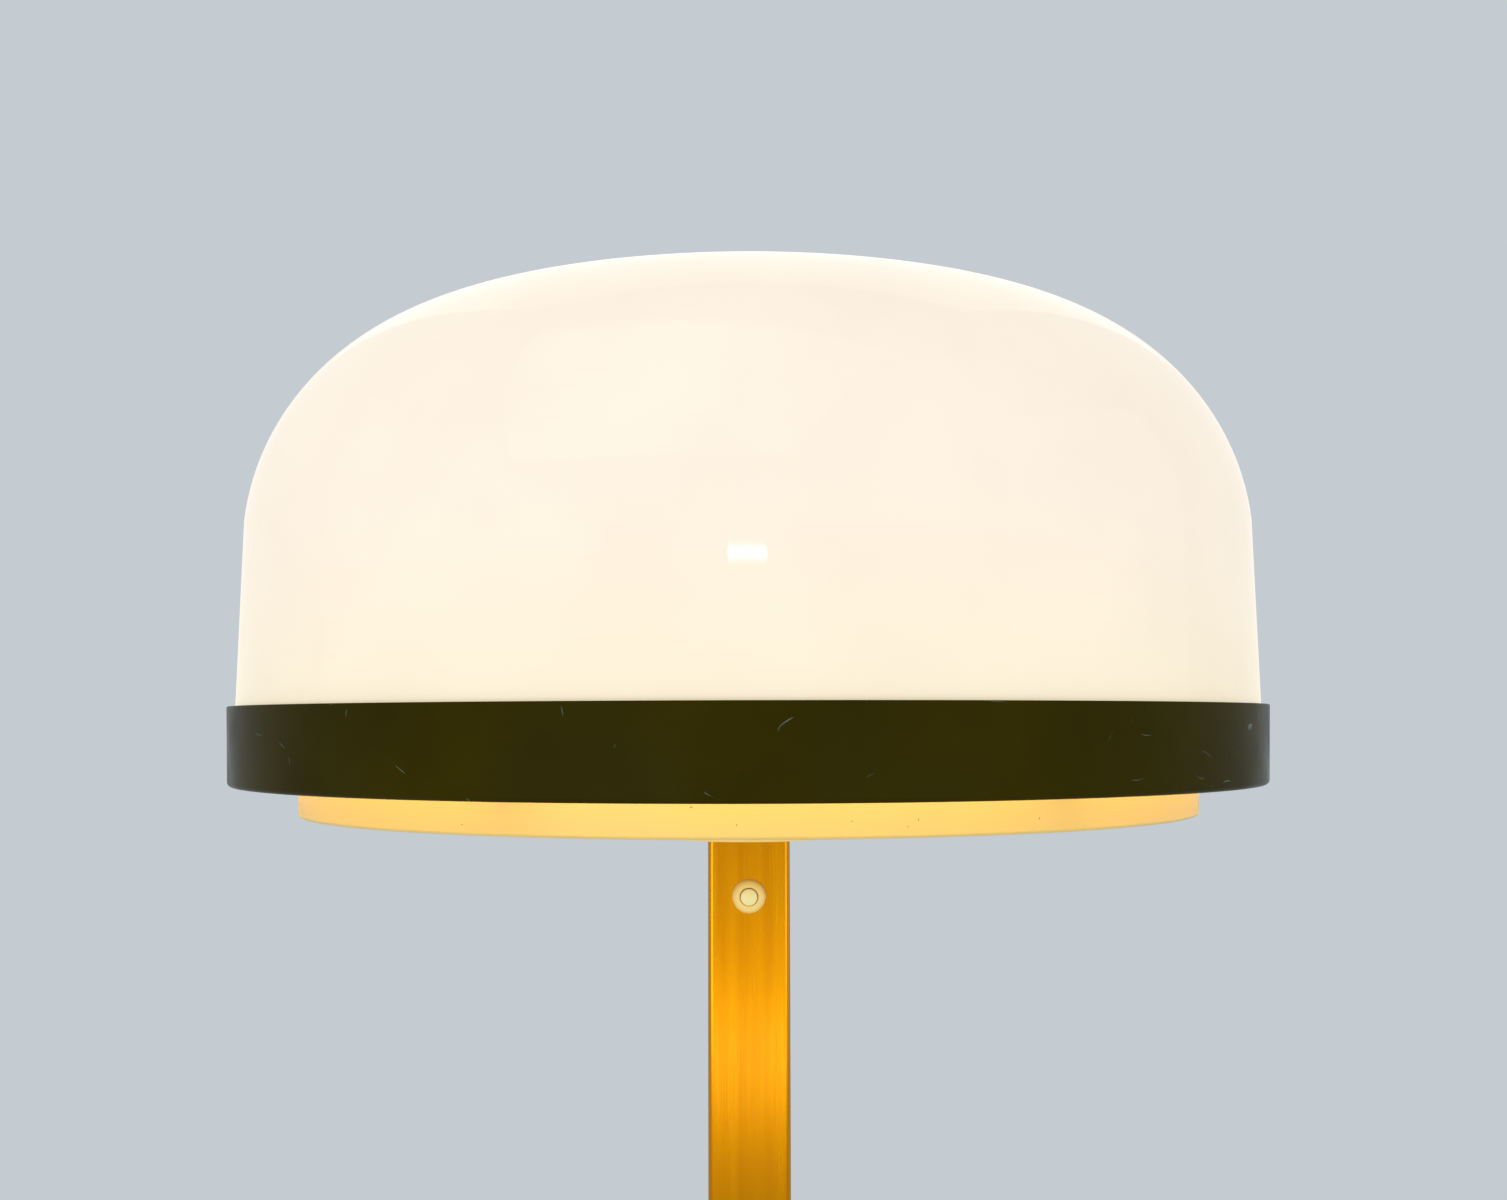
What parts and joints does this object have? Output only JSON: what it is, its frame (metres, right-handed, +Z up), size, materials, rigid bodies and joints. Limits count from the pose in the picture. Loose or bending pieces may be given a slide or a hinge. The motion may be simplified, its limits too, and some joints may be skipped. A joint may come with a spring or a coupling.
{
  "type": "floor lamp",
  "caption": "Floor lamp with a large opal mushroom dome in a dark band over a cream dish, on a square brass stem with a push switch and a round weighted base.",
  "frame": {"origin": "centre of the base on the floor", "axes": "+Z up the stem, the switch faces -Y, +X to the right seen from the switch side"},
  "size_m": [0.5, 0.5, 1.3499],
  "materials": {
    "acrylic_opal": "gloss",
    "lacquer_dark": "gloss",
    "lacquer_cream": "satin",
    "brass_satin": "satin",
    "brass_plain": "machined",
    "steel_zinc": "zinc plated",
    "steel_plain": "machined",
    "cast_iron": "as cast",
    "felt_dark": "felt",
    "rubber_black": "matt",
    "silicone_clear": "satin",
    "moulded_cream": "gloss",
    "moulded_black": "satin",
    "moulded_white": "satin",
    "cap_aluminium": "rolled thread",
    "glass_frosted": "frosted",
    "lead_sleeve": "sleeved"
  },
  "bodies": {
    "lamp": {"base_pad": "felt_dark", "base_plate": "steel_zinc", "base_weight": "cast_iron", "base_cover": "lacquer_dark", "base_plate_screws": "steel_zinc", "cord_grommet": "rubber_black", "stem_tube": "brass_satin", "stem_foot_plug": "steel_plain", "stem_head_plug": "steel_plain", "stem_bolt": "steel_zinc", "stem_bolt_washer": "steel_zinc", "switch_bezel": "moulded_cream", "switch_body": "moulded_black", "switch_nut": "brass_plain", "hub_cover": "lacquer_cream", "hub_nipple": "brass_plain", "hub_spacer": "steel_zinc", "hub_washer": "steel_zinc", "hub_nut": "brass_plain", "reflector_dish": "lacquer_cream", "ring_band": "lacquer_dark", "ring_brackets": "steel_zinc", "bracket_rivets": "steel_zinc", "dome_rests": "silicone_clear", "lamp_carrier": "steel_zinc", "terminal_block": "moulded_white", "terminal_screws": "steel_zinc", "lampholder_nipples": "steel_zinc", "lampholder_nuts": "brass_plain", "switch_lead": "lead_sleeve", "lamp_lead_rear": "lead_sleeve", "lamp_lead_left": "lead_sleeve", "lamp_lead_right": "lead_sleeve", "lampholder_rear": "moulded_black", "thread_shell_rear": "brass_plain", "centre_contact_rear": "brass_plain", "lampholder_left": "moulded_black", "thread_shell_left": "brass_plain", "centre_contact_left": "brass_plain", "lampholder_right": "moulded_black", "thread_shell_right": "brass_plain", "centre_contact_right": "brass_plain"},
    "dome": {"dome_shade": "acrylic_opal"},
    "button": {"push_button": "moulded_cream"},
    "bulb_rear": {"bulb_cap_rear": "cap_aluminium", "bulb_glass_rear": "glass_frosted"},
    "bulb_left": {"bulb_cap_left": "cap_aluminium", "bulb_glass_left": "glass_frosted"},
    "bulb_right": {"bulb_cap_right": "cap_aluminium", "bulb_glass_right": "glass_frosted"}
  },
  "joints": [
    {"name": "dome_lift", "type": "slide", "parent": "lamp", "child": "dome", "axis": [0, 0, 1], "range_m": [0, 0.19]},
    {"name": "button_press", "type": "slide", "parent": "lamp", "child": "button", "axis": [0, 1, 0], "range_m": [0, 0.002], "stiffness_N_per_m": 600, "springref_m": -0.002},
    {"name": "bulb_rear_unscrew", "type": "slide", "parent": "lamp", "child": "bulb_rear", "axis": [0, 0, 1], "range_m": [0, 0.035]},
    {"name": "bulb_left_unscrew", "type": "slide", "parent": "lamp", "child": "bulb_left", "axis": [0, 0, 1], "range_m": [0, 0.035]},
    {"name": "bulb_right_unscrew", "type": "slide", "parent": "lamp", "child": "bulb_right", "axis": [0, 0, 1], "range_m": [0, 0.035]}
  ]
}
